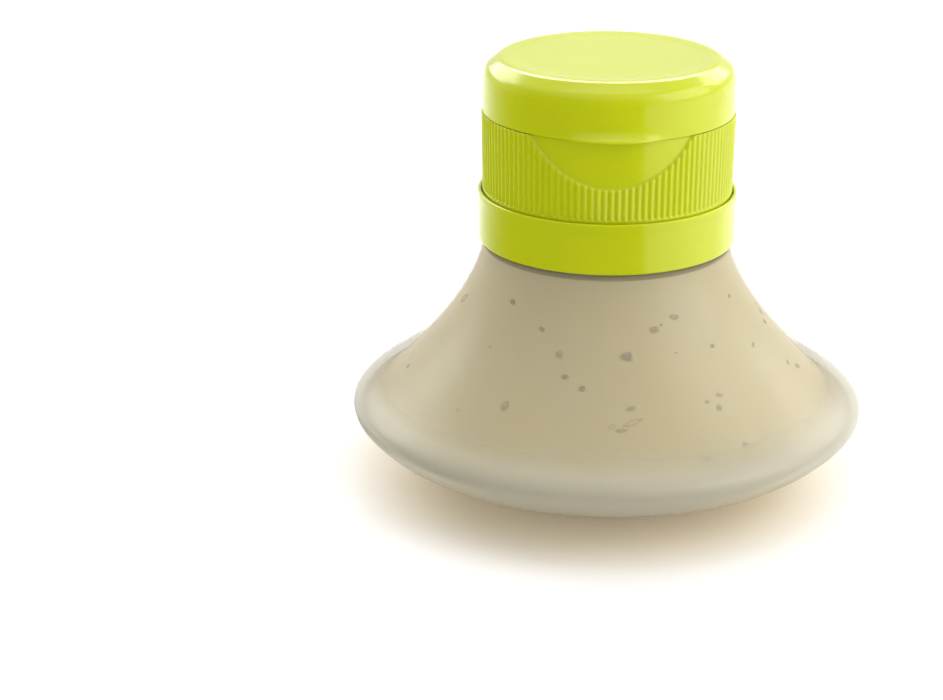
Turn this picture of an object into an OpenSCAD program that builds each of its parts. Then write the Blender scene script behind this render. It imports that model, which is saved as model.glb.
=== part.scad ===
// Squat dispensing sauce bottle with a screw closure and a flip lid.
// Millimetres, +Z up, standing on z = 0, axis on Z, front (thumb side) at -Y, hinge at +Y.

/* [Bottle] */
// Radius of the rim, the widest ring of the bottle
rim_r = 44.6; // [43.8:0.1:45.4]
// Height of the rim above the table
rim_z = 12.3; // [12:0.1:12.6]
// Outer radius of the ring that the bottle stands on
foot_r = 24; // [23.5:0.1:25]
// Inner radius of the ring that the bottle stands on
foot_inner_r = 18.5; // [18:0.5:19.5]
// Rise of the pushed-up middle of the base
push_up = 2.6; // [2:0.1:3]
// Radius of the shoulder where it meets the closure
shoulder_r = 21.9; // [21.6:0.1:22.2]
// Height of the ledge between the shoulder and the neck
ledge_z = 42.1; // [41.8:0.1:42.2]
// Thickness of the blown wall
wall = 0.95; // [0.7:0.05:1.2]
// Extra wall inside the rim, where the wall is thickest
rim_extra = 3.1; // [2:0.1:3.5]

/* [Neck finish] */
// Height of the mouth
neck_top_z = 62.6; // [62.4:0.1:62.7]
// Radius of the mouth's bore
neck_bore_r = 15.6; // [15:0.1:16]
// Radius of the neck between the thread turns
neck_root_r = 17.5; // [17.3:0.1:17.6]
// Radius over the neck's thread
neck_crest_r = 18.75; // [18.5:0.05:18.85]
// Rise of the thread in one turn
thread_pitch = 4.2; // [4:0.1:4.4]
// Radius of the bead that holds the tamper band down
bead_r = 19.7; // [19.5:0.05:19.8]

/* [Closure] */
// Radius over the ribs of the skirt
cap_r = 21.5; // [21.4:0.05:21.6]
// Number of grip ribs round the skirt
ribs = 120; // [100:10:140]
// Height of a rib
rib_h = 0.28; // [0.15:0.01:0.35]
// Height of the skirt's lower edge
skirt_z = 50.4; // [50.2:0.1:50.6]
// Height of the parting line between the skirt and the lid
parting_z = 64.7; // [64.5:0.1:64.9]
// Inner radius of the skirt
skirt_bore_r = 19.15; // [19:0.05:19.3]
// Half width of the thumb recess at the parting line
recess_half_w = 13.5; // [11:0.5:15]
// Height of the thumb recess
recess_h = 8.2; // [6:0.1:9]
// Outer radius of the pouring spout at its tip
spout_r = 4.4; // [4.2:0.1:4.6]
// Radius of the pouring hole
orifice_r = 2.7; // [2.6:0.05:2.9]

/* [Flip lid] */
// Height of the whole object
total_h = 74; // [73.6:0.1:74.4]
// Radius of the lid's side wall
lid_r = 21.27; // [21.1:0.01:21.35]
// Radius of the flat disc on top
disc_r = 18.4; // [17.5:0.1:19]
// Reach of the thumb lip from the axis
lip_reach = 22.6; // [22.3:0.1:23]
// Thickness of the lid's wall
lid_wall = 1.22; // [1:0.02:1.25]

/* [Tamper band] */
// Radius of the band
band_r = 22.05; // [21.95:0.05:22.2]
// Height of the band's lower edge
band_z = 42.4; // [42.3:0.1:42.6]
// Height of the band's rounded upper lip
band_top_z = 51.1; // [50.9:0.1:51.3]
// Number of tear bridges under the skirt
bridges = 12; // [8:1:16]

/* [Sauce] */
// Level of the sauce inside the neck
fill_z = 56; // [50:0.5:58]
// Number of loose black pepper flecks under the wall
pepper_count = 14; // [4:1:20]
// Number of loose red pepper flecks
red_count = 9; // [4:1:14]
// Number of loose herb flecks
herb_count = 16; // [4:1:20]

/* [Hidden] */
$fn = 96;

lime = [0.74, 0.79, 0.06];
lime_pale = [0.80, 0.84, 0.18];
cream = [0.86, 0.82, 0.66];
frosted = [0.88, 0.88, 0.84, 0.55];

// Base of the bottle
dome_edge_r = 15;                      // where the pushed-up middle ends
floor_t = 1.5;                         // thickness of the base
sauce_gap = 0.25;                      // clear gap between the sauce and the wall

// Neck and its thread
bead_z = 46.2;                         // underside of the neck's bead
neck_root_half = 1.05;                 // half height of the neck's thread at its root
neck_crest_half = 0.45;                // half height of the neck's thread at its crest
neck_thread_z = 53.2;                  // height where the neck's thread starts
neck_turns = 1.5;
cap_crest_r = 17.85;                   // radius inside the closure's thread
cap_root_half = 0.85;
cap_crest_half = 0.35;
cap_turns = 1.33;
flank_drop = 1.4;                      // the closure's thread runs this far under the neck's
cap_thread_start = 120;                // angle where the closure's thread starts
thread_steps = 24;                     // steps in one turn of a thread
embed = 0.15;                          // depth that a piece sinks into what carries it
thread_embed = 0.45;                   // depth that a thread sinks into its wall

// Closure
deck_z = 63.3;                         // underside of the closure's deck
dish_z = 64.8;                         // top of the deck round the spout
deck_rim_r = 19.7;                     // outer radius of the rim that the lid closes over
deck_rim_inner_r = 18.5;
deck_rim_z = 66.2;
spout_z = 71;                          // tip of the spout
channel_r = 3.6;                       // passage under the pouring hole
channel_z = 69.8;                      // height where the passage narrows to the hole
rib_pitch = 360 / ribs;
rib_foot_z = 51.6;                     // lower end of the ribs
recess_r = cap_r - 0.65;               // radius of the smooth wall in the thumb recess
recess_arc_r = (recess_half_w * recess_half_w + recess_h * recess_h) / (2 * recess_h);

// Lid
lid_z = parting_z + 0.1;               // lower edge of the lid
bevel_z = 72.1;                        // lower edge of the bevel round the disc
lid_inner_r = lid_r - lid_wall;
lid_top_t = 1.4;
lip_r = 13;                            // radius of the lip's front edge, seen from above
lip_h = 1.5;

// Hinge at the back
hinge_y = 21.9;
hinge_w = 9;
film_r = 0.95;                         // outer radius of the folded film
film_t = 0.4;
strap_w = 2.4;
strap_x = 7.6;
hinge_pad = 27;                        // half angle of the smooth pad behind the hinge

// Tamper band
band_inner_r = 20.3;
shelf_z = 49.9;                        // top of the band's thick part, under the skirt
groove_r = 21.45;                      // inside of the upper lip
retainer_r = 19.1;                     // inside of the bead that hooks under the neck's bead

// A cubic curve through four control points
function curve(p, n) = [
    for (i = [0 : n])
        let (t = i / n, u = 1 - t)
        u * u * u * p[0] + 3 * u * u * t * p[1] + 3 * u * t * t * p[2] + t * t * t * p[3]
];

// Slope of the same curve at t
function slope(p, t) =
    let (u = 1 - t)
    3 * u * u * (p[1] - p[0]) + 6 * u * t * (p[2] - p[1]) + 3 * t * t * (p[3] - p[2]);

// Outside of the bottle: bowl, rim and shoulder
bowl_out = [[foot_r + 0.5, 0.35], [31.5, 3.9], [36.6, 5.2], [rim_r - 3.9, rim_z - 4.5]];
rim_out = [[rim_r - 3.9, rim_z - 4.5], [rim_r + 0.8, rim_z - 0.7],
           [rim_r + 1.6, rim_z + 0.95], [rim_r - 3.3, rim_z + 3.65]];
shoulder_out = [[rim_r - 3.3, rim_z + 3.65], [36.4, 18.6], [22.9, 32], [shoulder_r, ledge_z]];

// Inside of the wall, drawn g further in
function bowl_in(g) = [[foot_r - 0.7 - g, floor_t + g], [30.8, 5.2 + g], [35.5, 6.9 + g],
                       [rim_r - wall - rim_extra - 2 - g, rim_z - 3.4 + g]];
function rim_in(g) = let (r = rim_r - wall - rim_extra - g)
    [[r - 2, rim_z - 3.4 + g], [r + 0.6, rim_z - 1.5], [r + 0.9, rim_z + 1],
     [r - 1.9, rim_z + 2.9 - g]];
function shoulder_in(g) = [[rim_r - wall - rim_extra - 1.9 - g, rim_z + 2.9 - g],
                           [34.6 - g, 18.3 - g], [21.9 - g, 31.6],
                           [shoulder_r - wall - 0.1 - g, ledge_z - 1.9]];

function bottle_outside() = concat(
    [[0, push_up], [dome_edge_r - 5, push_up - 0.3], [dome_edge_r, push_up - 1.1],
     [foot_inner_r - 1, 0.3], [foot_inner_r, 0], [foot_r, 0]],
    curve(bowl_out, 8), curve(rim_out, 14), curve(shoulder_out, 20),
    [[shoulder_r - 0.5, ledge_z], [neck_root_r + 0.6, ledge_z + 0.05],
     [neck_root_r, ledge_z + 0.7], [neck_root_r, bead_z], [bead_r, bead_z],
     [bead_r, bead_z + 0.5], [neck_root_r, bead_z + 2.2], [neck_root_r, neck_top_z - 0.4],
     [neck_root_r - 0.4, neck_top_z], [neck_bore_r, neck_top_z]]);

function bottle_inside(g, top_z) = concat(
    [[0, push_up + floor_t + g], [dome_edge_r - 5, push_up + floor_t - 0.3 + g],
     [dome_edge_r, push_up + floor_t - 1.1 + g], [foot_inner_r, floor_t + 0.2 + g]],
    curve(bowl_in(g), 8), curve(rim_in(g), 14), curve(shoulder_in(g), 20),
    [[neck_bore_r - g, ledge_z - 0.6], [neck_bore_r - g, top_z]]);

// One helical thread between two radii; the crest fades out at both ends
module helix(inner_r, inner_half, outer_r, outer_half, z0, turns, crest_outside) {
    n = round(turns * thread_steps);
    fade = 2.5;
    points = [
        for (i = [0 : n])
            let (a = 360 * i / thread_steps,
                 z = z0 + thread_pitch * i / thread_steps,
                 k = min(1, (i + 0.4) / fade, (n - i + 0.4) / fade),
                 ri = crest_outside ? inner_r : outer_r + (inner_r - outer_r) * k,
                 ro = crest_outside ? inner_r + (outer_r - inner_r) * k : outer_r)
            for (q = [[ri, -inner_half], [ro, -outer_half], [ro, outer_half], [ri, inner_half]])
                [q[0] * cos(a), q[0] * sin(a), z + q[1]]
    ];
    sides = [
        for (i = [0 : n - 1])
            for (j = [0 : 3])
                let (a = 4 * i + j, b = 4 * i + (j + 1) % 4)
                for (f = [[a, b, b + 4], [a, b + 4, a + 4]])
                    f
    ];
    polyhedron(points, concat([[0, 3, 2], [0, 2, 1]], sides,
                              [[4 * n, 4 * n + 1, 4 * n + 2], [4 * n, 4 * n + 2, 4 * n + 3]]));
}

module bottle() {
    inside = bottle_inside(0, neck_top_z);
    color(frosted) {
        rotate_extrude()
            polygon(concat(bottle_outside(),
                           [for (i = [len(inside) - 2 : -1 : 0]) inside[i]]));
        helix(neck_root_r - thread_embed, neck_root_half, neck_crest_r, neck_crest_half,
              neck_thread_z, neck_turns, true);
    }
}

module sauce_fill() {
    color(cream)
        rotate_extrude()
            polygon(concat(bottle_inside(sauce_gap, fill_z), [[0, fill_z]]));
}

// Round flecks scattered on the sauce's shoulder, just under the wall
module flecks(count, first_angle, turn, low, high, r_min, r_max) {
    path = shoulder_in(sauce_gap);
    for (i = [0 : count - 1]) {
        t = low + (high - low) * ((i * 0.618) % 1);
        r = r_min + (r_max - r_min) * ((i * 0.37) % 1);
        p = curve(path, 100)[round(100 * t)];
        d = slope(path, t);
        inward = [-d[1], d[0]] / norm(d);
        c = p + inward * (r - 0.2);
        rotate(first_angle + i * turn)
            translate([c[0], 0, c[1]])
                sphere(r = r, $fn = 24);
    }
}

module black_pepper_flecks() {
    color([0.16, 0.14, 0.12])
        flecks(pepper_count, -85, 137.5, 0.12, 0.8, 0.4, 0.8);
}

module red_pepper_flecks() {
    color([0.52, 0.2, 0.12])
        flecks(red_count, -70, 137.5, 0.15, 0.75, 0.4, 0.65);
}

module herb_flecks() {
    color([0.36, 0.38, 0.24])
        flecks(herb_count, -118, 99.5, 0.06, 0.85, 0.35, 0.6);
}

module foil_seal() {
    color([0.8, 0.8, 0.82])
        translate([0, 0, neck_top_z])
            cylinder(h = 0.25, r = neck_root_r - 0.2);
}

module tamper_band() {
    lip_mid_r = (band_r + groove_r) / 2;
    lip_half = (band_r - groove_r) / 2;
    lip = [for (i = [0 : 6])
        [lip_mid_r + lip_half * cos(30 * i), band_top_z - lip_half + lip_half * sin(30 * i)]];
    color(lime)
        rotate_extrude()
            polygon(concat(
                [[band_inner_r, band_z], [band_r - 0.5, band_z], [band_r - 0.15, band_z + 0.15],
                 [band_r - 0.05, band_z + 0.5]],
                lip,
                [[groove_r, shelf_z], [band_inner_r, shelf_z], [band_inner_r, 45.9],
                 [retainer_r, 45.8], [retainer_r, 45.0], [band_inner_r, 43.6]]));
}

module tear_bridges() {
    bridge_w = 0.9;
    color(lime)
        for (i = [0 : bridges - 1])
            rotate(360 * (i + 0.5) / bridges)
                translate([skirt_bore_r + 1.3, -bridge_w / 2, shelf_z])
                    cube([0.7, bridge_w, skirt_z - shelf_z - 0.04]);
}

// The ribbed outline of the skirt, smooth behind the hinge
module rib_outline() {
    polygon([
        for (k = [0 : ribs - 1])
            for (s = [[-0.26, 0], [0.26, 0], [0.38, 1], [0.62, 1]])
                let (a = (k + s[0]) * rib_pitch,
                     pad = abs(a - 90) < hinge_pad,
                     r = cap_r - (pad ? 0 : s[1] * rib_h))
                [r * cos(a), r * sin(a)]
    ]);
}

module thumb_recess() {
    difference() {
        translate([0, -cap_r - 3, parting_z - recess_h + recess_arc_r])
            rotate([-90, 0, 0])
                cylinder(h = cap_r + 3, r = recess_arc_r);
        cylinder(h = 2 * total_h, r = recess_r);
    }
}

module spout() {
    translate([0, 0, dish_z - embed])
        cylinder(h = spout_z - dish_z + embed, r1 = spout_r + 2.6, r2 = spout_r);
}

module cap_base() {
    color(lime)
        difference() {
            union() {
                difference() {
                    union() {
                        translate([0, 0, rib_foot_z])
                            linear_extrude(parting_z - rib_foot_z)
                                rib_outline();
                        translate([0, 0, skirt_z])
                            cylinder(h = rib_foot_z - skirt_z + embed, r = cap_r - rib_h / 2);
                    }
                    thumb_recess();
                    translate([0, 0, skirt_z - 1])
                        rotate(180 / thread_steps)
                            cylinder(h = deck_z - skirt_z + 1, r = skirt_bore_r);
                }
                translate([0, 0, parting_z - embed])
                    difference() {
                        cylinder(h = deck_rim_z - parting_z + embed, r = deck_rim_r);
                        translate([0, 0, dish_z - parting_z + embed])
                            cylinder(h = 3, r = deck_rim_inner_r);
                    }
                rotate_extrude()
                    polygon([[deck_rim_r - 0.2, 65.2], [deck_rim_r + 0.08, 65.5],
                             [deck_rim_r + 0.08, 65.7], [deck_rim_r - 0.2, 66]]);
                spout();
                translate([0, 0, deck_z - 0.3])
                    difference() {
                        cylinder(h = 0.5, r = 16.8);
                        translate([0, 0, -1])
                            cylinder(h = 3, r = 16.2);
                    }
                translate([0, 0, -flank_drop])
                    rotate(cap_thread_start)
                        helix(cap_crest_r, cap_crest_half, skirt_bore_r + thread_embed, cap_root_half,
                              neck_thread_z + thread_pitch * cap_thread_start / 360,
                              cap_turns, false);
            }
            translate([0, 0, deck_z - 1])
                cylinder(h = channel_z - deck_z + 1, r = channel_r);
            translate([0, 0, channel_z - 0.1])
                cylinder(h = 2, r = orifice_r);
        }
}

// A folded strip of plastic on the hinge axis, from the skirt's wall up to the lid's
module folded_strip(width, x, outer_r, thickness) {
    difference() {
        translate([x, hinge_y, parting_z])
            union() {
                rotate([0, 90, 0])
                    difference() {
                        cylinder(h = width, r = outer_r, center = true, $fn = 32);
                        cylinder(h = width + 1, r = outer_r - thickness, center = true, $fn = 32);
                        translate([-3, -6, -width])
                            cube([6, 6, 2 * width]);
                    }
                for (z = [outer_r - thickness, -outer_r])
                    translate([-width / 2, -4, z])
                        cube([width, 4, thickness]);
            }
        translate([0, 0, parting_z])
            cylinder(h = 5, r = lid_r + 0.03);
        translate([0, 0, parting_z - 5])
            cylinder(h = 5, r = cap_r);
    }
}

module living_hinge() {
    color(lime_pale)
        folded_strip(hinge_w, 0, film_r, film_t);
}

module snap_straps() {
    color(lime_pale)
        for (side = [-1, 1])
            folded_strip(strap_w, side * strap_x, film_r + 0.25, film_t + 0.3);
}

module lid_shell() {
    rotate_extrude()
        polygon([
            [0, total_h - 0.15], [disc_r - 3, total_h - 0.12], [disc_r - 0.5, total_h],
            [disc_r, total_h], [disc_r + 0.25, total_h - 0.12],
            [lid_r - 0.85, bevel_z + 0.3], [lid_r - 0.35, bevel_z - 0.15],
            [lid_r - 0.1, bevel_z - 0.7], [lid_r - 0.05, bevel_z - 1.3],
            [lid_r, lid_z + 0.2], [lid_r - 0.1, lid_z],
            [lid_inner_r - 0.13, lid_z], [lid_inner_r - 0.13, lid_z + 0.3],
            [lid_inner_r, lid_z + 0.6], [lid_inner_r, bevel_z - 1.2],
            [disc_r - 0.6, total_h - lid_top_t], [0, total_h - lid_top_t]]);
}

// Pin that plugs the pouring hole and the ring that centres the lid on the spout
module lid_seals() {
    top = total_h - lid_top_t;
    translate([0, 0, 69.9])
        cylinder(h = 1.3, r1 = 1.9, r2 = orifice_r - 0.25);
    translate([0, 0, 71.2])
        cylinder(h = top - 71.2 + embed, r = orifice_r - 0.25);
    translate([0, 0, 70])
        difference() {
            cylinder(h = top - 70 + embed, r = spout_r + 1.8);
            translate([0, 0, -1])
                cylinder(h = top - 70 + 1, r = spout_r + 0.9);
        }
}

module thumb_lip() {
    difference() {
        translate([0, -(lip_reach - lip_r), lid_z]) {
            cylinder(h = 0.4, r = lip_r);
            translate([0, 0, 0.4])
                cylinder(h = lip_h, r1 = lip_r, r2 = lip_r - 1.6);
        }
        translate([0, 0, lid_z - 1])
            cylinder(h = 5, r = lid_inner_r + 0.3);
    }
}

module flip_lid() {
    color(lime_pale)
        union() {
            lid_shell();
            lid_seals();
            thumb_lip();
        }
}

bottle();
sauce_fill();
black_pepper_flecks();
red_pepper_flecks();
herb_flecks();
foil_seal();
tamper_band();
tear_bridges();
cap_base();
living_hinge();
snap_straps();
flip_lid();
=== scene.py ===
"""A squat bottle of dressing under a ribbed lime closure with a flip lid.

The scene is in metres, in the model's own frame: the bottle stands on z = 0, the thumb lip is at -Y
and the hinge at +Y. Outlines are written in millimetres, as on a moulder's drawing.
"""
import math
import random

import bpy
from mathutils import Matrix, Vector, noise


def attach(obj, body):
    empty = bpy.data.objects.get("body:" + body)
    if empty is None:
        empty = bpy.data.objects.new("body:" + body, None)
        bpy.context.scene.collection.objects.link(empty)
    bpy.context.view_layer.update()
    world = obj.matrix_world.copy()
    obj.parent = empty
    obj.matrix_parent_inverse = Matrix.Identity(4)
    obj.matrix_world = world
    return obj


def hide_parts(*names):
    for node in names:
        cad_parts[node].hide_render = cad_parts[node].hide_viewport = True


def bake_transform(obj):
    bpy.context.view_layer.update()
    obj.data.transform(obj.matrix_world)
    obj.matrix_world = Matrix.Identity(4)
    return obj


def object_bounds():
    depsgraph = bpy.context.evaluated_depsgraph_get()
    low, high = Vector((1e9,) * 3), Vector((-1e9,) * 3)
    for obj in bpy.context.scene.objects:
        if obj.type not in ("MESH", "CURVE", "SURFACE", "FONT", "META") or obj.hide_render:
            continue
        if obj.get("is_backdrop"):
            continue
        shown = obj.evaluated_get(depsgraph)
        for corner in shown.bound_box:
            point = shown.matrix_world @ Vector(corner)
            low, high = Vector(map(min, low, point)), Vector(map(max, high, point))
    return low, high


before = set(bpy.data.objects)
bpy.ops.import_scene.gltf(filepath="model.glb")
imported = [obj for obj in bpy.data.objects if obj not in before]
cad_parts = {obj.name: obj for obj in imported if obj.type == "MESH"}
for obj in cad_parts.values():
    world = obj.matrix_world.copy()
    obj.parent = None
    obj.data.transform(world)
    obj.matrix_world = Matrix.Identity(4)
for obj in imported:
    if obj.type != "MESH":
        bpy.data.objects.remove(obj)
cad_low, cad_high = (corner.copy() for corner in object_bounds())

MM = 0.001
MERGE = 0.002 * MM
SHARP = math.radians(35)

# Bottle. Its body leans to the right, and is drawn narrower than the round solid by as much
body_lean, lean_height = 0.45, 22.0
rim_r, rim_z = 44.6 - body_lean, 12.3
foot_r, foot_inner_r, push_up, dome_edge_r = 24.0, 18.5, 2.6, 15.0
shoulder_r, ledge_z = 21.9, 42.1
sauce_gap, fill_z = 0.2, 56.0

# Blown wall: thin, and thicker from thicken_r out to the rim
wall, rim_wall, floor_t = 0.85, 1.4, 1.5
thicken_r, thicken_run = 32.0, 10.0

# Neck finish
neck_top_z, neck_bore_r, neck_root_r, neck_crest_r = 62.6, 15.6, 17.5, 18.75
bead_r, bead_z = 19.7, 46.2
foil_t = 0.25

# Threads: run_in is the part of a turn in which the crest rises from the wall
thread_pitch, neck_thread_z, neck_turns = 4.2, 53.2, 1.5
cap_crest_r, cap_thread_start, cap_turns = 17.85, 120.0, 1.33
thread_steps, run_in = 72, 0.09

# Closure
cap_r, ribs, rib_h, rib_foot_z, rib_run_in = 21.5, 120, 0.28, 51.6, 0.3
skirt_z, skirt_bore_r, skirt_taper = 50.4, 19.15, 0.25
parting_z, deck_z, dish_z = 64.7, 63.3, 64.8
recess_half_w, recess_h, recess_depth, recess_edge = 13.5, 8.2, 0.65, 0.32
deck_rim_r, deck_rim_inner_r, deck_rim_z = 19.7, 18.5, 66.2
snap_bead_z, snap_bead_h = 65.6, 0.08
spout_r, spout_z, orifice_r, channel_r, channel_z = 4.4, 71.0, 2.7, 3.6, 69.8
seal_ring_r, seal_ring_h = 16.2, 0.3

# Flip lid
total_h, lid_r, lid_z, lid_wall = 74.0, 21.27, 64.8, 1.22
disc_r, bevel_z, side_top_z, lid_top_t = 18.4, 72.1, 69.2, 1.4
lip_r, lip_reach, lip_flat_z, lip_top_z = 13.0, 22.6, 65.15, 67.1
plug_z, plug_tip_z, plug_tip_r = 71.2, 69.9, 1.9
ring_z, ring_inner_r, ring_r = 70.0, spout_r + 0.9, spout_r + 1.8

# Hinge: pad_angle is half the smooth part of the skirt behind it
hinge_y, hinge_w, film_r, film_t, film_root_y = 21.9, 9.0, 0.62, 0.35, 20.4
strap_w, strap_x, strap_r, strap_t, strap_root_y = 2.4, 7.6, 0.72, 0.4, 19.3
pad_angle, pad_run = 27.0, 1.0

# Tamper band
band_r, band_wall_r, band_z, band_top_z = 22.05, 21.92, 42.4, 51.1
flare_foot_z, flare_z = 49.3, 50.2
band_inner_r, shelf_z, groove_r = 20.3, 49.9, 21.45
retainer_r, retainer_z = 19.1, 45.8

# Camera: where it stands round the bottle, and how it looks at it
PHOTO_W, PHOTO_H = 943, 700
LENS_PX = 2500.0
SENSOR_MM = 36.0
camera_turn = math.radians(-2.1)
camera_back, camera_up = 0.41015, 0.1731
camera_pitch, camera_yaw = math.radians(20.33), math.radians(-3.23)


def camera_frame():
    """The camera's place and its turn, as one matrix."""
    ahead = Vector((math.sin(camera_yaw) * math.cos(camera_pitch),
                    math.cos(camera_yaw) * math.cos(camera_pitch), -math.sin(camera_pitch)))
    turn = ahead.to_track_quat("-Z", "Y").to_matrix().to_4x4()
    return Matrix.Rotation(camera_turn, 4, "Z") @ Matrix.Translation((0, -camera_back, camera_up)) @ turn


def add_camera():
    """The camera that took the photograph, as far as the closure's rings tell."""
    data = bpy.data.cameras.new("camera")
    data.sensor_width = SENSOR_MM
    data.lens = LENS_PX * SENSOR_MM / PHOTO_W
    data.clip_start = 0.01
    camera = bpy.data.objects.new("camera", data)
    bpy.context.scene.collection.objects.link(camera)
    camera.matrix_world = camera_frame()
    bpy.context.scene.camera = camera


add_camera()
bpy.context.scene.view_settings.view_transform = "Standard"


class Value:
    """A number on a surface. Arithmetic on it adds Math nodes."""

    def __init__(self, tree, socket):
        self.tree = tree
        self.socket = socket

    def math(self, operation, *values):
        return self.tree.node("ShaderNodeMath", {"operation": operation}, dict(enumerate(values)))

    def __add__(self, other):
        return self.math("ADD", self, other)

    def __sub__(self, other):
        return self.math("SUBTRACT", self, other)

    def __rsub__(self, other):
        return self.math("SUBTRACT", other, self)

    def __mul__(self, other):
        return self.math("MULTIPLY", self, other)

    __radd__ = __add__
    __rmul__ = __mul__


class Tree:
    """The nodes of one material or of the world."""

    def __init__(self, owner):
        owner.use_nodes = True
        self.owner = owner
        self.nodes = owner.node_tree.nodes
        self.links = owner.node_tree.links

    def node(self, kind, settings, inputs, output=0):
        """Adds a node with its settings and inputs, and gives one of its outputs."""
        made = self.nodes.new(kind)
        for name, setting in settings.items():
            setattr(made, name, setting)
        self.feed(made, inputs)
        return Value(self, made.outputs[output])

    def feed(self, made, inputs):
        """Sets or links the sockets of a node that is there."""
        for key, value in inputs.items():
            if isinstance(value, Value):
                self.links.new(value.socket, made.inputs[key])
            else:
                made.inputs[key].default_value = value

    def place(self):
        return self.node("ShaderNodeTexCoord", {}, {}, "Object")

    def ray(self, kind):
        """1 for that kind of ray, and 0 for others."""
        return self.node("ShaderNodeLightPath", {}, {}, kind)

    def parts(self, vector):
        """The x, y and z of a vector."""
        separate = self.node("ShaderNodeSeparateXYZ", {}, {"Vector": vector}).socket.node
        return [Value(self, socket) for socket in separate.outputs]

    def noise(self, per_mm, detail=2.0, roughness=0.5):
        """Soft noise from about 0.3 to 0.7, with per_mm lumps in a millimetre."""
        return self.node("ShaderNodeTexNoise", {}, {
            "Vector": self.place(), "Scale": per_mm / MM, "Detail": detail, "Roughness": roughness})

    def ease(self, value, low, high, start=0.0, end=1.0):
        """start below low, end above high, and a smooth step between them."""
        return self.node("ShaderNodeMapRange", {"interpolation_type": "SMOOTHSTEP"}, {
            "Value": value, "From Min": low, "From Max": high, "To Min": start, "To Max": end})

    def mix(self, mask, first, second):
        """The first colour where mask is 0, and the second where it is 1."""
        return self.node("ShaderNodeMix", {"data_type": "RGBA"}, {0: mask, 6: first, 7: second}, 2)

    def axis_distance(self):
        """Distance from the bottle's axis, in metres."""
        flat = self.node("ShaderNodeVectorMath", {"operation": "MULTIPLY"}, {0: self.place(), 1: (1, 1, 0)})
        return self.node("ShaderNodeVectorMath", {"operation": "LENGTH"}, {0: flat}, "Value")

    def bump(self, height, depth_mm):
        return self.node("ShaderNodeBump", {}, {"Height": height, "Strength": 1.0, "Distance": depth_mm * MM})

    def finish(self, **inputs):
        """Sets the surface's sockets, named with _ for a space."""
        surface = self.nodes["Principled BSDF"]
        self.feed(surface, {name.replace("_", " "): value for name, value in inputs.items()})
        return self.owner


def shade(red, green, blue):
    """A colour in linear light."""
    return (red, green, blue, 1.0)


def lime_plastic():
    """Glossy moulded polypropylene, faintly uneven as it left the mould."""
    tree = Tree(bpy.data.materials.new("lime_plastic"))
    flow = tree.noise(0.05, 3)
    grain = tree.noise(1.6, 2)
    colour = tree.mix(tree.ease(flow, 0.3, 0.7), shade(0.53, 0.585, 0.001), shade(0.56, 0.62, 0.002))
    return tree.finish(
        Base_Color=colour, Roughness=0.13 + grain * 0.1, IOR=1.49,
        Subsurface_Weight=0.12, Subsurface_Radius=(1.0, 1.0, 0.15), Subsurface_Scale=1.5 * MM,
        Normal=tree.bump(flow * 0.7 + grain * 0.04, 0.06))


def worked_film():
    """The same plastic where it folds, paler from the strain."""
    tree = Tree(bpy.data.materials.new("worked_film"))
    strain = tree.noise(0.9, 3)
    colour = tree.mix(tree.ease(strain, 0.35, 0.65), shade(0.50, 0.55, 0.03), shade(0.58, 0.62, 0.14))
    return tree.finish(Base_Color=colour, Roughness=0.25 + strain * 0.15, IOR=1.49,
                       Normal=tree.bump(strain, 0.03))


def frosted_plastic():
    """Natural blown plastic: a thin milky veil over the sauce, milkier at the thick rim.

    The milkiness grows with the distance from the axis, and sooner on the bowl under the rim.
    """
    thin_r, thick_r, under_gain = 36.5 * MM, 45.0 * MM, 3.5 * MM
    under_z, over_z = 8.0 * MM, 14.0 * MM
    least_veil, cloud_veil, rim_veil = 0.21, 0.10, 0.44
    tree = Tree(bpy.data.materials.new("frosted_plastic"))
    cloud = tree.noise(0.06, 3)
    grain = tree.noise(2.2, 2)
    height = tree.parts(tree.place())[2]
    under = tree.ease(height, under_z, over_z, 1.0, 0.0)
    thick = tree.ease(tree.axis_distance() + under * under_gain, thin_r, thick_r)
    colour = tree.mix(thick, shade(0.62, 0.555, 0.37), shade(0.565, 0.53, 0.405))
    return tree.finish(
        Base_Color=colour, Alpha=least_veil + cloud * cloud_veil + thick * rim_veil,
        Roughness=0.27 + grain * 0.12, IOR=1.5,
        Normal=tree.bump(cloud * 0.8 + grain * 0.05, 0.16))


def dressing():
    """Cream dressing, softly mottled."""
    tree = Tree(bpy.data.materials.new("dressing"))
    broad = tree.noise(0.045, 3, 0.55)
    small = tree.noise(0.5, 3, 0.6)
    warm = tree.mix(tree.ease(broad, 0.35, 0.65), shade(0.55, 0.47, 0.262), shade(0.575, 0.475, 0.252))
    colour = tree.mix(tree.ease(small, 0.56, 0.74) * 0.35, warm, shade(0.47, 0.42, 0.25))
    return tree.finish(
        Base_Color=colour, Roughness=0.34 + small * 0.12,
        Subsurface_Weight=0.3, Subsurface_Radius=(1.0, 0.8, 0.5), Subsurface_Scale=3.0 * MM,
        Normal=tree.bump(small, 0.05))


def fleck_material(name, dark, light):
    """A fleck in the dressing, with the dressing over its edge."""
    tree = Tree(bpy.data.materials.new(name))
    crumb = tree.noise(1.8, 3)
    cover = tree.node("ShaderNodeAttribute", {"attribute_name": "cover"}, {}, "Fac")
    return tree.finish(
        Base_Color=tree.mix(tree.ease(crumb, 0.35, 0.65), dark, light),
        Alpha=cover * (1.1 + crumb * 0.4), Roughness=0.6 + crumb * 0.2,
        Normal=tree.bump(crumb, 0.1))


def seal_foil():
    """Satin aluminium foil, creased where it was pressed on the mouth."""
    tree = Tree(bpy.data.materials.new("seal_foil"))
    crease = tree.noise(0.22, 5, 0.6)
    colour = tree.mix(crease, shade(0.66, 0.66, 0.68), shade(0.86, 0.86, 0.87))
    return tree.finish(Base_Color=colour, Metallic=1.0, Roughness=0.24 + crease * 0.3,
                       Normal=tree.bump(crease, 0.25))


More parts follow.
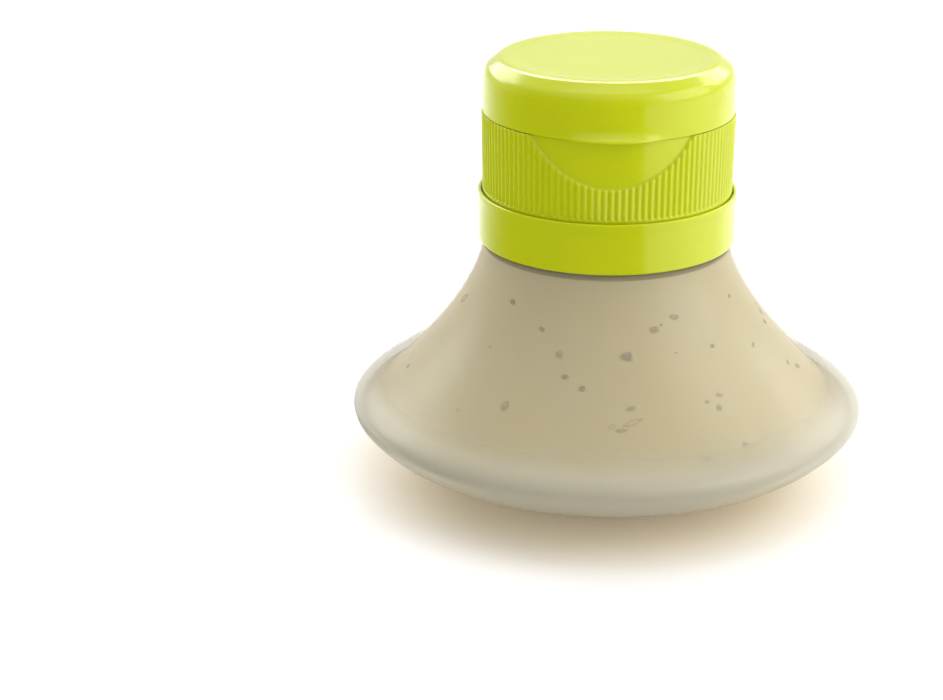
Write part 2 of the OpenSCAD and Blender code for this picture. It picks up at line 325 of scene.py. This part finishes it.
LIME = lime_plastic()
FILM = worked_film()
FROSTED = frosted_plastic()
DRESSING = dressing()
PEPPER = fleck_material("pepper_crumb", shade(0.035, 0.03, 0.02), shade(0.12, 0.10, 0.06))
CHILLI = fleck_material("chilli_crumb", shade(0.20, 0.045, 0.02), shade(0.30, 0.09, 0.035))
PAPRIKA = fleck_material("paprika_crumb", shade(0.55, 0.33, 0.14), shade(0.60, 0.41, 0.20))
HERB = fleck_material("herb_crumb", shade(0.16, 0.145, 0.085), shade(0.28, 0.25, 0.15))
FOIL = seal_foil()


def curve(controls, count):
    """Points along a cubic curve with four control points."""
    found = []
    for step in range(count + 1):
        t = step / count
        u = 1 - t
        weights = (u ** 3, 3 * u * u * t, 3 * u * t * t, t ** 3)
        found.append(tuple(sum(w * p[axis] for w, p in zip(weights, controls)) for axis in (0, 1)))
    return found


def rows(start, end, count):
    """Points spaced evenly from start up to, but without, end."""
    return [tuple(a + (b - a) * step / count for a, b in zip(start, end)) for step in range(count)]


def eased(corners, steps=4):
    """The outline through corners (r, z) or (r, z, ease), each with an ease rounded by a short curve."""
    found = []
    for index, corner in enumerate(corners):
        here = Vector(corner[:2])
        ease = corner[2] if len(corner) > 2 else 0
        if not ease:
            found.append(tuple(here))
            continue
        before = Vector(corners[index - 1][:2]) - here
        after = Vector(corners[(index + 1) % len(corners)][:2]) - here
        first = here + before.normalized() * min(ease, 0.5 * before.length)
        last = here + after.normalized() * min(ease, 0.5 * after.length)
        for step in range(steps + 1):
            t = step / steps
            found.append(tuple(first * (1 - t) ** 2 + here * 2 * t * (1 - t) + last * t * t))
    return found


def smooth(t):
    """0 up to t = 0, 1 from t = 1, and a smooth step between."""
    t = min(1.0, max(0.0, t))
    return t * t * (3 - 2 * t)


def outline_ring(name, points):
    """A ring of edges through points, left in edit mode with all of it selected."""
    bpy.ops.object.select_all(action="DESELECT")
    bpy.ops.mesh.primitive_circle_add(vertices=len(points), radius=10 * MM)
    piece = bpy.context.object
    piece.name = piece.data.name = name
    for vertex, point in zip(piece.data.vertices, points):
        vertex.co = Vector(point) * MM
    bpy.ops.object.mode_set(mode="EDIT")
    bpy.ops.mesh.select_all(action="SELECT")
    return piece


def close_up(piece, material):
    """Merges what coincides, turns the faces outwards and gives the piece its finish."""
    bpy.ops.mesh.select_all(action="SELECT")
    bpy.ops.mesh.remove_doubles(threshold=MERGE)
    bpy.ops.mesh.delete_loose()
    bpy.ops.mesh.select_all(action="SELECT")
    bpy.ops.mesh.normals_make_consistent(inside=False)
    bpy.ops.object.mode_set(mode="OBJECT")
    bpy.ops.object.shade_smooth_by_angle(angle=SHARP)
    piece.data.materials.append(material)
    return piece


def screwed(piece, angle, rise_mm, steps):
    """Turns a ring of edges round Z, rising on the way if it is a screw."""
    bpy.ops.object.mode_set(mode="OBJECT")
    screw = piece.modifiers.new("screw", "SCREW")
    screw.axis = "Z"
    screw.angle = angle
    screw.screw_offset = rise_mm * MM
    screw.steps = screw.render_steps = steps
    screw.use_merge_vertices = rise_mm == 0
    screw.merge_threshold = MERGE
    bpy.ops.object.modifier_apply(modifier=screw.name)


def spun(name, outline, steps, material):
    """A closed outline (r, z) turned once round the bottle's axis."""
    piece = outline_ring(name, [(0, -r, z) for r, z in outline])
    screwed(piece, math.tau, 0, steps)
    bpy.ops.object.mode_set(mode="EDIT")
    return close_up(piece, material)


def extruded(name, section, x_low, x_high, material):
    """A closed section (y, z) drawn out along X."""
    piece = outline_ring(name, [(x_low, y, z) for y, z in section])
    bpy.ops.mesh.edge_face_add()
    bpy.ops.mesh.extrude_region_move(TRANSFORM_OT_translate={"value": ((x_high - x_low) * MM, 0, 0)})
    return close_up(piece, material)


def thread(name, root, crest, first_angle, turns, material):
    """A screw thread between root (r, half height) and crest (r, half height), low at both ends."""
    (root_r, root_half), (crest_r, crest_half) = root, crest
    end_height = 0.4
    section = [(root_r, -root_half), (crest_r, -crest_half), (crest_r, crest_half), (root_r, root_half)]
    piece = outline_ring(name, [(r, 0, neck_thread_z + z) for r, z in section])
    screwed(piece, math.tau * turns, thread_pitch * turns, round(thread_steps * turns))
    last = neck_thread_z + thread_pitch * turns
    for vertex in piece.data.vertices:
        angle = math.atan2(vertex.co.y, vertex.co.x) + math.radians(first_angle)
        radius = vertex.co.xy.length / MM
        height = vertex.co.z / MM
        run = min(height - neck_thread_z, last - height) / thread_pitch
        radius = root_r + (radius - root_r) * smooth(run / run_in + end_height)
        vertex.co.xy = (radius * MM * math.cos(angle), radius * MM * math.sin(angle))
    bpy.ops.object.mode_set(mode="EDIT")
    bpy.ops.mesh.select_all(action="SELECT")
    bpy.ops.mesh.fill_holes(sides=4)
    return close_up(piece, material)


def join(piece, *others):
    """Makes others part of piece."""
    bpy.ops.object.select_all(action="DESELECT")
    for other in others:
        other.select_set(True)
    piece.select_set(True)
    bpy.context.view_layer.objects.active = piece
    bpy.ops.object.join()


def settle(piece, body, slot, *nodes):
    """Puts a piece on its body and hides the nodes it stands for; slot is not used."""
    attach(piece, body)
    if nodes:
        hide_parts(*nodes)
    return piece


# Bottle and dressing

bowl_out = [(foot_r + 0.5, 0.35), (31.5, 3.9), (36.6, 5.2), (rim_r - 3.9, rim_z - 4.5)]
rim_out = [(rim_r - 3.9, rim_z - 4.5), (rim_r + 0.8, rim_z - 0.7),
           (rim_r + 1.6, rim_z + 0.95), (rim_r - 3.3, rim_z + 3.65)]
shoulder_out = [(rim_r - 3.3, rim_z + 3.65), (37.1, 18.4), (23.7, 31.2), (shoulder_r, ledge_z)]


def blown_outline():
    """The body's outside, from the edge of the foot round the rim and up to the neck."""
    return curve(bowl_out, 18)[:-1] + curve(rim_out, 30)[:-1] + curve(shoulder_out, 44)


def inside(gap):
    """The bottle's inner surface from the middle of its base to the neck, drawn gap further in."""
    outline = blown_outline()
    drawn = []
    for before, here, after in zip(outline, outline[1:], outline[2:]):
        along = (Vector(after) - Vector(before)).normalized()
        depth = wall + (rim_wall - wall) * smooth((here[0] - thicken_r) / thicken_run) + gap
        r, z = here[0] - along.y * depth, here[1] + along.x * depth
        if r > foot_r or z > rim_z:
            drawn.append((r, max(z, floor_t + gap)))
    base = [(0, push_up + floor_t + gap), (dome_edge_r - 5, push_up + floor_t - 0.3 + gap, 2),
            (dome_edge_r, push_up + floor_t - 1.1 + gap, 1.5), (foot_inner_r, floor_t + 0.2 + gap, 1)]
    return eased(base) + drawn + [(neck_bore_r - gap, ledge_z - 0.6)]


def lean(piece):
    """Shifts the blown body to the right of its neck, as it stands in the photograph."""
    for vertex in piece.data.vertices:
        vertex.co.x += body_lean * MM * smooth((ledge_z - vertex.co.z / MM) / lean_height)


def bottle_piece():
    """The blown shell with its pushed-up base and its threaded neck."""
    base = [(0, push_up), (dome_edge_r - 5, push_up - 0.3, 2), (dome_edge_r, push_up - 1.1, 1.5),
            (foot_inner_r - 1, 0.3, 0.5), (foot_inner_r + 0.2, 0, 0.4), (foot_r, 0, 0.3)]
    neck = [(shoulder_r - 0.5, ledge_z, 0.3), (neck_root_r + 0.3, ledge_z + 0.05, 0.2),
            (neck_root_r, ledge_z + 0.7, 0.2), (neck_root_r, bead_z, 0.15), (bead_r, bead_z, 0.15),
            (bead_r, bead_z + 0.5, 0.2), (neck_root_r, bead_z + 2.2, 0.4),
            (neck_root_r, neck_top_z, 0.35), (neck_bore_r, neck_top_z, 0.3)]
    outline = eased(base) + blown_outline() + eased(neck) + inside(0)[::-1]
    piece = spun("bottle_wall", outline, 256, FROSTED)
    lean(piece)
    ridge = thread("neck_thread", (neck_root_r - 0.1, 1.05), (neck_crest_r, 0.45), 0, neck_turns, FROSTED)
    join(piece, ridge)
    return settle(piece, "filled_bottle", "frosted_plastic", "bottle")


def sauce_piece():
    """The dressing, up to its level in the neck, where it clings to the bore."""
    level_r = neck_bore_r - sauce_gap
    level = [(level_r, fill_z - 0.4), (level_r - 0.5, fill_z - 0.05),
             (neck_bore_r - 2.5, fill_z - 0.25), (0, fill_z - 0.3)]
    piece = spun("dressing_fill", inside(sauce_gap) + level, 192, DRESSING)
    lean(piece)
    return settle(piece, "filled_bottle", "sauce", "sauce_fill")


bottle_piece()
sauce = sauce_piece()


# Flecks seen in the photograph: x and y in its pixels, length and width in mm
black_px = [(627, 357, 1.9, 1.5), (513, 302, 1.3, 0.8), (542, 329, 1.1, 0.7), (565, 377, 1.2, 0.8),
            (582, 389, 1.1, 1.0), (712, 346, 0.9, 0.7), (707, 459, 1.3, 0.8), (809, 421, 1.0, 0.8),
            (490, 347, 0.4, 0.3), (676, 353, 0.4, 0.3), (458, 410, 0.4, 0.4), (578, 462, 0.4, 0.3),
            (729, 296, 0.9, 0.6), (772, 346, 0.35, 0.3)]
red_px = [(654, 330, 1.5, 1.1), (661, 325, 0.5, 0.4)]
orange_px = [(633, 423, 3.2, 0.8), (612, 427, 1.0, 0.7)]
herb_px = [(674, 317, 1.7, 0.9), (753, 345, 1.2, 0.7), (797, 366, 1.7, 1.0), (827, 403, 1.1, 0.8),
           (719, 408, 1.1, 1.0), (707, 402, 0.8, 0.6), (746, 446, 1.4, 1.1), (631, 409, 1.4, 0.8),
           (621, 431, 1.9, 0.7), (505, 406, 1.3, 1.6), (719, 395, 1.2, 0.6), (559, 355, 1.3, 1.2),
           (598, 483, 1.0, 0.6), (628, 484, 0.6, 0.4), (502, 463, 1.6, 1.0)]

# The others are cast at the dressing's sides and back from scatter_start away from the axis, at angles
# in degrees from the camera's right and at heights in mm
scatter_from, scatter_to = -15, 195
scatter_low, scatter_high = 7, 39
scatter_start = 80 * MM


def pixel_ray(x, y):
    """Where the camera stands, and the direction in which it sees a pixel of the photograph."""
    view = camera_frame()
    ray = Vector(((x - PHOTO_W / 2) / LENS_PX, (PHOTO_H / 2 - y) / LENS_PX, -1))
    return view.translation, (view.to_3x3() @ ray).normalized()


def fleck(name, hit, facing, tilt, long_mm, wide_mm, chance, material):
    """A thin ragged crumb that lies on the dressing at hit, under the wall."""
    corners, uneven, lump = 14, 0.32, 1.1
    half, lift, middle_h = 0.66, 0.04, 0.09
    cover_from, cover_run = 0.1, 0.9
    bpy.ops.object.select_all(action="DESELECT")
    bpy.ops.mesh.primitive_circle_add(vertices=corners, radius=1, fill_type="TRIFAN")
    piece = bpy.context.object
    piece.name = piece.data.name = name
    bpy.ops.object.mode_set(mode="EDIT")
    bpy.ops.mesh.select_all(action="SELECT")
    bpy.ops.mesh.subdivide(number_cuts=1, quadcorner="INNERVERT")
    bpy.ops.object.mode_set(mode="OBJECT")
    seed = Vector((chance.uniform(0, 50), chance.uniform(0, 50), 0))
    cover = piece.data.attributes.new("cover", "FLOAT", "POINT")
    turn = Matrix.Rotation(tilt, 3, "Z")
    lie = facing.to_track_quat("Z", "Y").to_matrix()
    for index, vertex in enumerate(piece.data.vertices):
        out = vertex.co.length
        ragged = half * (1 + uneven * noise.noise(vertex.co.normalized() * lump + seed) * out)
        cover.data[index].value = 1.0 - smooth((out - cover_from) / cover_run)
        flat = Vector((vertex.co.x * long_mm * ragged, vertex.co.y * wide_mm * ragged, 0))
        dome = middle_h * (1 - out * out) + lift
        vertex.co = hit + lie @ ((turn @ flat + Vector((0, 0, dome))) * MM)
    bpy.ops.object.shade_smooth()
    piece.data.materials.append(material)
    return piece


def fleck_group(name, seen, scattered, size_range, material, chance):
    """The flecks seen in the photograph and scattered ones round the rest of the bottle."""
    made = []
    for x, y, long_mm, wide_mm in seen:
        start, ahead = pixel_ray(x, y)
        found, hit, facing, _ = sauce.ray_cast(start, ahead)
        if found:
            tilt = chance.uniform(-0.4, 0.4)
            made.append(fleck(name, hit, facing, tilt, long_mm, wide_mm, chance, material))
    for _ in range(scattered):
        around = camera_turn + math.radians(chance.uniform(scatter_from, scatter_to))
        height = chance.uniform(scatter_low, scatter_high)
        start = Vector((scatter_start * math.cos(around), scatter_start * math.sin(around), height * MM))
        found, hit, facing, _ = sauce.ray_cast(start, Vector((-start.x, -start.y, 0)).normalized())
        size = chance.uniform(*size_range)
        wide = size * chance.uniform(0.5, 0.95)
        if found:
            tilt = chance.uniform(0, math.pi)
            made.append(fleck(name, hit, facing, tilt, size, wide, chance, material))
    join(made[0], *made[1:])
    return made[0]


def flecks():
    """Pepper, chilli, paprika and herb, each kind as one piece."""
    chance = random.Random(7)
    pepper = fleck_group("black_pepper_crumbs", black_px, 26, (0.4, 1.5), PEPPER, chance)
    settle(pepper, "filled_bottle", "black_pepper", "black_pepper_flecks")
    chilli = fleck_group("red_pepper_crumbs", red_px, 8, (0.6, 1.4), CHILLI, chance)
    settle(chilli, "filled_bottle", "red_pepper", "red_pepper_flecks")
    paprika = fleck_group("orange_pepper_crumbs", orange_px, 6, (0.8, 2.4), PAPRIKA, chance)
    settle(paprika, "filled_bottle", "red_pepper")
    herb = fleck_group("herb_crumbs", herb_px, 24, (0.6, 1.7), HERB, chance)
    settle(herb, "filled_bottle", "herb", "herb_flecks")


flecks()


def foil_piece():
    """The seal on the mouth: a disc with a pressed ring and a crimped edge."""
    low, high = neck_top_z, neck_top_z + foil_t
    edge = neck_root_r - 0.2
    outline = eased([(0, low + 0.13), (neck_bore_r - 1, low + 0.13, 0.3), (neck_bore_r, low + 0.02, 0.2),
                     (edge, low, 0.05), (edge, high - 0.06, 0.05), (neck_bore_r + 0.2, high, 0.3),
                     (neck_bore_r - 0.9, high, 0.3), (neck_bore_r - 1.6, high - 0.08, 0.3),
                     (0, high - 0.06)])
    return settle(spun("mouth_seal", outline, 96, FOIL), "filled_bottle", "foil", "foil_seal")


foil_piece()


# Tamper band

def band_piece():
    """The collar: a smooth wall that flares to a rounded lip, and a bead inside that hooks on the neck."""
    outline = eased([
        (band_inner_r, band_z, 0.2), (band_wall_r - 0.1, band_z, 0.3), (band_wall_r, band_z + 0.6, 0.4),
        (band_wall_r, flare_foot_z, 0.5), (band_r, flare_z, 0.3), (band_r, band_top_z, 0.28),
        (groove_r, band_top_z, 0.28), (groove_r, shelf_z, 0.1), (band_inner_r, shelf_z, 0.1),
        (band_inner_r, retainer_z + 0.1, 0.1), (retainer_r, retainer_z, 0.15),
        (retainer_r, retainer_z - 0.8, 0.15), (band_inner_r, retainer_z - 2.2, 0.2)], 5)
    return settle(spun("tamper_collar", outline, 320, LIME), "band", "lime_plastic", "tamper_band")


def finish_bridges():
    """The tear bridges are shown as their own solids, in the closure's lime."""
    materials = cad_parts["tear_bridges"].data.materials
    materials.clear()
    materials.append(LIME)


band_piece()
finish_bridges()


# Closure

def rib_groove(angle_deg):
    """0 on a rib's crest and 1 at the bottom of a groove; ribs are round and grooves narrow."""
    phase = math.cos(math.tau * angle_deg * ribs / 360)
    return 1 - (0.5 + 0.5 * phase) ** 0.8


def shape_skirt(piece):
    """Cuts the grip ribs and the half-moon thumb recess into the skirt's outer wall, and tapers it."""
    skin = 0.45
    arc_r = (recess_half_w ** 2 + recess_h ** 2) / (2 * recess_h)
    arc_z = parting_z - recess_h + arc_r
    for vertex in piece.data.vertices:
        radius = vertex.co.xy.length / MM
        height = vertex.co.z / MM
        if radius < cap_r - skin or height > parting_z + 0.01:
            continue
        angle = math.degrees(math.atan2(vertex.co.y, vertex.co.x))
        inside_arc = arc_r - math.hypot(vertex.co.x / MM, height - arc_z)
        recess = smooth(inside_arc / recess_edge) if vertex.co.y < 0 else 0.0
        off_pad = smooth((abs(angle - 90) - pad_angle) / pad_run)
        ribbed = smooth((height - rib_foot_z) / rib_run_in + 0.5) * off_pad * (1 - recess)
        cut = rib_h * rib_groove(angle) * ribbed + recess_depth * recess
        taper = skirt_taper * (parting_z - height) / (parting_z - skirt_z)
        vertex.co.xy *= (radius - cut - taper * (1 - recess)) / radius


def closure_piece():
    """The skirt with its ribs and recess, the deck with its rim and spout, and the thread inside."""
    recess_foot_z = parting_z - recess_h - 0.3
    outer = ([(cap_r - 0.35, skirt_z), (cap_r - 0.12, skirt_z + 0.08), (cap_r, skirt_z + 0.3)]
             + rows((cap_r, rib_foot_z - 0.2), (cap_r, rib_foot_z + 0.2), 3)
             + rows((cap_r, rib_foot_z + 0.2), (cap_r, recess_foot_z), 3)
             + rows((cap_r, recess_foot_z), (cap_r, parting_z - 0.1), 40)
             + [(cap_r, parting_z - 0.1), (cap_r - 0.08, parting_z)])
    inner = eased([
        (deck_rim_r, parting_z, 0.12), (deck_rim_r, snap_bead_z - 0.3),
        (deck_rim_r + snap_bead_h, snap_bead_z), (deck_rim_r, snap_bead_z + 0.3),
        (deck_rim_r, deck_rim_z, 0.3), (deck_rim_inner_r, deck_rim_z, 0.25),
        (deck_rim_inner_r, dish_z, 0.3), (spout_r + 2.6, dish_z, 0.9), (spout_r + 0.15, spout_z - 0.3, 0.3),
        (spout_r, spout_z, 0.2), (orifice_r, spout_z, 0.2), (orifice_r, channel_z, 0.1),
        (channel_r, channel_z, 0.2), (channel_r, deck_z, 0.2), (seal_ring_r, deck_z),
        (seal_ring_r + 0.1, deck_z - seal_ring_h), (seal_ring_r + 0.5, deck_z - seal_ring_h),
        (seal_ring_r + 0.6, deck_z), (skirt_bore_r, deck_z, 0.3), (skirt_bore_r, skirt_z, 0.15)], 2)
    piece = spun("ribbed_closure", outer + inner, 8 * ribs, LIME)
    shape_skirt(piece)
    ridge = thread("closure_thread", (skirt_bore_r + 0.1, 0.85), (cap_crest_r, 0.35),
                   cap_thread_start, cap_turns, LIME)
    join(piece, ridge)
    return settle(piece, "closure", "lime_plastic", "cap_base")


closure_piece()


# Flip lid

def lip_radius(angle):
    """Distance in mm from the axis to the circle of the lip's front edge, in one direction."""
    centre = lip_reach - lip_r
    along = -centre * math.sin(angle)
    return along + math.sqrt(along * along - centre ** 2 + lip_r ** 2)


def shape_lip(piece):
    """Pulls the lid's front edge out into the thumb lip, with a hollow curve above it."""
    skin, start, ease, hollow = 0.3, 0.4, 0.02, 2.2
    for vertex in piece.data.vertices:
        radius = vertex.co.xy.length / MM
        height = vertex.co.z / MM
        if radius < lid_r - skin or height > lip_top_z:
            continue
        reach = lip_radius(math.atan2(vertex.co.y, vertex.co.x)) - lid_r
        if reach <= -start:
            continue
        reach = 0.5 * (reach + math.sqrt(reach * reach + ease))
        rise = min(1.0, max(0.0, (height - lip_flat_z) / (lip_top_z - lip_flat_z)))
        vertex.co.xy *= (radius + reach * (1 - rise) ** hollow) / radius


def lid_piece():
    """The disc, its bevel and side wall, with the ring round the spout and the plug inside."""
    top_inside = total_h - lid_top_t
    bore_r = lid_r - lid_wall
    plug_r = orifice_r - 0.25
    side_r = lid_r - 0.01
    outline = eased([(0, total_h - 0.15), (disc_r - 3, total_h - 0.12, 1.0), (disc_r - 1.8, total_h, 0.5),
                     (disc_r + 0.05, total_h, 0.7), (lid_r - 0.62, bevel_z + 0.32, 0.55),
                     (lid_r - 0.05, bevel_z - 0.9, 0.8), (side_r, side_top_z)], 7)
    outline += rows((side_r, side_top_z - 0.4), (side_r, lip_top_z), 2)
    outline += rows((side_r, lip_top_z), (lid_r, lid_z + 0.12), 16)
    outline += [(lid_r, lid_z + 0.12), (lid_r - 0.04, lid_z + 0.03), (lid_r - 0.14, lid_z)]
    outline += eased([(bore_r - 0.13, lid_z, 0.08), (bore_r - 0.13, lid_z + 0.3, 0.1),
                      (bore_r, lid_z + 0.6, 0.2), (bore_r, bevel_z - 1.2, 0.6),
                      (disc_r - 0.6, top_inside, 0.8), (ring_r, top_inside, 0.3), (ring_r, ring_z, 0.12),
                      (ring_inner_r, ring_z, 0.12), (ring_inner_r, top_inside, 0.3),
                      (plug_r, top_inside, 0.3), (plug_r, plug_z, 0.3),
                      (plug_tip_r, plug_tip_z, 0.3), (0, plug_tip_z)])
    piece = spun("flip_top", outline, 480, LIME)
    shape_lip(piece)
    return settle(piece, "lid", "lime_plastic", "flip_lid")


lid_piece()


# Hinge: a folded film and two straps, drawn out along X

def fold_section(outer_r, thickness, root_y):
    """A folded strip seen from its end: out from the skirt, round the hinge line, back to the lid."""
    arc_steps, tail_steps = 18, 5
    section = []
    for side, radius in ((1, outer_r), (-1, outer_r - thickness)):
        arc = [(hinge_y + radius * math.cos(a), parting_z + radius * math.sin(a))
               for a in (math.pi * (step / arc_steps - 0.5) for step in range(arc_steps + 1))]
        tail = rows((root_y, parting_z - radius), (hinge_y, parting_z - radius), tail_steps)
        path = tail + arc + [(y, 2 * parting_z - z) for y, z in reversed(tail)]
        section += path[::side]
    return section


def settle_fold(piece, node):
    """Bakes a folded piece's place into its mesh and hides the node it stands for."""
    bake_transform(piece)
    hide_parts(node)


def hinge_pieces():
    """The film in the middle, and a strap on each side of it."""
    film = extruded("hinge_film", fold_section(film_r, film_t, film_root_y), -hinge_w / 2, hinge_w / 2, FILM)
    settle_fold(film, "living_hinge")
    left, right = [extruded("hinge_straps", fold_section(strap_r, strap_t, strap_root_y),
                            x - strap_w / 2, x + strap_w / 2, FILM) for x in (-strap_x, strap_x)]
    join(left, right)
    settle_fold(left, "snap_straps")


hinge_pieces()


# Stage: a white table, a white world, a painted dark reflection that gloss sees where a black card would lie,
# and soft lamps

# Angle of the card's right edge: on the table from the camera's side, in the world from -Y
card_edge = math.radians(32)


def card_sector(tree, across, along, first, full, edge):
    """1 from the angle full to card_edge, easing in from the angle first and out within edge."""
    bearing = across.math("ARCTAN2", across, along * -1)
    entered = tree.ease(bearing, math.radians(first), math.radians(full))
    return entered * tree.ease(bearing, card_edge - edge, card_edge + edge, 1, 0)


def add_floor():
    """The table, which glows faintly, with painted warm bounce light that tints it warmer under the bottle.

    Gloss on the bottle sees it dark in front and to the left, as if the card lay there.
    """
    table_size, table_z = 4.0, -0.1 * MM
    bottle_clear_r, card_r = 0.045, 0.055
    warm_r, cool_r = 26 * MM, 56 * MM
    near_r, far_r, near_light, far_light = 0.15, 0.7, 0.22, 0.3
    bpy.ops.object.select_all(action="DESELECT")
    bpy.ops.mesh.primitive_plane_add(size=table_size, location=(0, 0, table_z))
    floor = bpy.context.object
    floor.name = "table_top"
    tree = Tree(bpy.data.materials.new("white_table"))
    seen = tree.ray("Is Camera Ray")
    glossy = tree.ray("Is Glossy Ray")
    turned = tree.node("ShaderNodeMapping", {}, {"Vector": tree.place(), "Rotation": (0, 0, -camera_turn)})
    across, along, _ = tree.parts(turned)
    # Painted dark reflection: gloss sees the table black in this sector, though no card lies there.
    card = card_sector(tree, across, along, -150, -80, 0.02)
    card = card * tree.ease(tree.axis_distance(), bottle_clear_r, card_r) * glossy
    # Painted warm bounce light: within warm_r of the axis the table's colour and glow turn warmer, as if lit
    # by the cream bottle.
    painted_bounce_warmth = tree.ease(tree.axis_distance(), warm_r, cool_r, 1.0, 0.0)
    far = tree.ease(tree.axis_distance(), near_r, far_r, 0.0, far_light)
    tree.finish(
        Base_Color=tree.mix(painted_bounce_warmth, shade(0.88, 0.88, 0.88), shade(0.88, 0.78, 0.60)), Roughness=0.3,
        Specular_IOR_Level=0.35, Emission_Color=tree.mix(painted_bounce_warmth, shade(1, 1, 1), shade(1.0, 0.86, 0.62)),
        Emission_Strength=(seen + glossy * (1.0 - card)) * (near_light + far))
    white = Value(tree, tree.nodes["Principled BSDF"].outputs[0])
    black = tree.node("ShaderNodeBsdfDiffuse", {}, {"Color": shade(0, 0, 0)})
    both = tree.node("ShaderNodeMixShader", {}, {0: card, 1: white, 2: black})
    tree.feed(tree.nodes["Material Output"], {"Surface": both})
    floor.data.materials.append(tree.owner)
    floor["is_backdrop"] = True


def light_world():
    """White all round, a little weaker as light on matt surfaces, and dim to gloss in the card's sector: a
    painted dark reflection.
    """
    matt_loss, card_loss = 0.30, 0.9
    low_up, high_up = 0.35, 0.7
    world = bpy.data.worlds.new("soft_white_studio")
    bpy.context.scene.world = world
    tree = Tree(world)
    across, along, up = tree.parts(tree.node("ShaderNodeTexCoord", {}, {}, "Generated"))
    # Painted dark reflection: the world is dim to gloss in the same sector.
    dim = card_sector(tree, across, along, -120, -70, 0.1)
    dim = dim * tree.ease(up, low_up, high_up, 1, 0) * tree.ray("Is Glossy Ray")
    tree.feed(tree.nodes["Background"], {
        "Color": shade(1, 1, 1),
        "Strength": 1.0 - tree.ray("Is Diffuse Ray") * matt_loss - dim * card_loss})


def around_camera(degrees, distance, height):
    """A point round the bottle, degrees to the right of the camera's side."""
    angle = camera_turn - math.pi / 2 + math.radians(degrees)
    return Vector((distance * math.cos(angle), distance * math.sin(angle), height))


def add_lamp(name, degrees, elevation, distance, size, radiance):
    """A soft oblong lamp that faces the bottle, of a given brightness seen from the bottle."""
    aim = Vector((0, 0, 30 * MM))
    data = bpy.data.lights.new(name, "AREA")
    data.shape = "RECTANGLE"
    data.size, data.size_y = size
    data.energy = radiance * math.pi * size[0] * size[1]
    lamp = bpy.data.objects.new(name, data)
    bpy.context.scene.collection.objects.link(lamp)
    high = math.radians(elevation)
    lamp.location = around_camera(degrees, distance * math.cos(high), distance * math.sin(high))
    lamp.rotation_euler = (lamp.location - aim).to_track_quat("Z", "Y").to_euler()
    lamp.visible_camera = False
    return lamp


def add_lamps():
    """A window at the side, two boxes behind, a panel overhead and a strip that only gloss sees."""
    add_lamp("side_window", 78, 30, 1.0, size=(0.9, 0.8), radiance=2.35)
    add_lamp("left_back_box", -135, 31, 1.0, size=(0.72, 0.5), radiance=3.9)
    add_lamp("right_back_box", 135, 30, 1.0, size=(0.62, 0.46), radiance=3.8)
    add_lamp("overhead_panel", 0, 88, 1.1, size=(1.0, 0.4), radiance=1.0)
    strip = add_lamp("back_strip", 180, 48, 1.1, size=(0.9, 0.4), radiance=8.0)
    strip.visible_diffuse = False


add_floor()
light_world()
add_lamps()
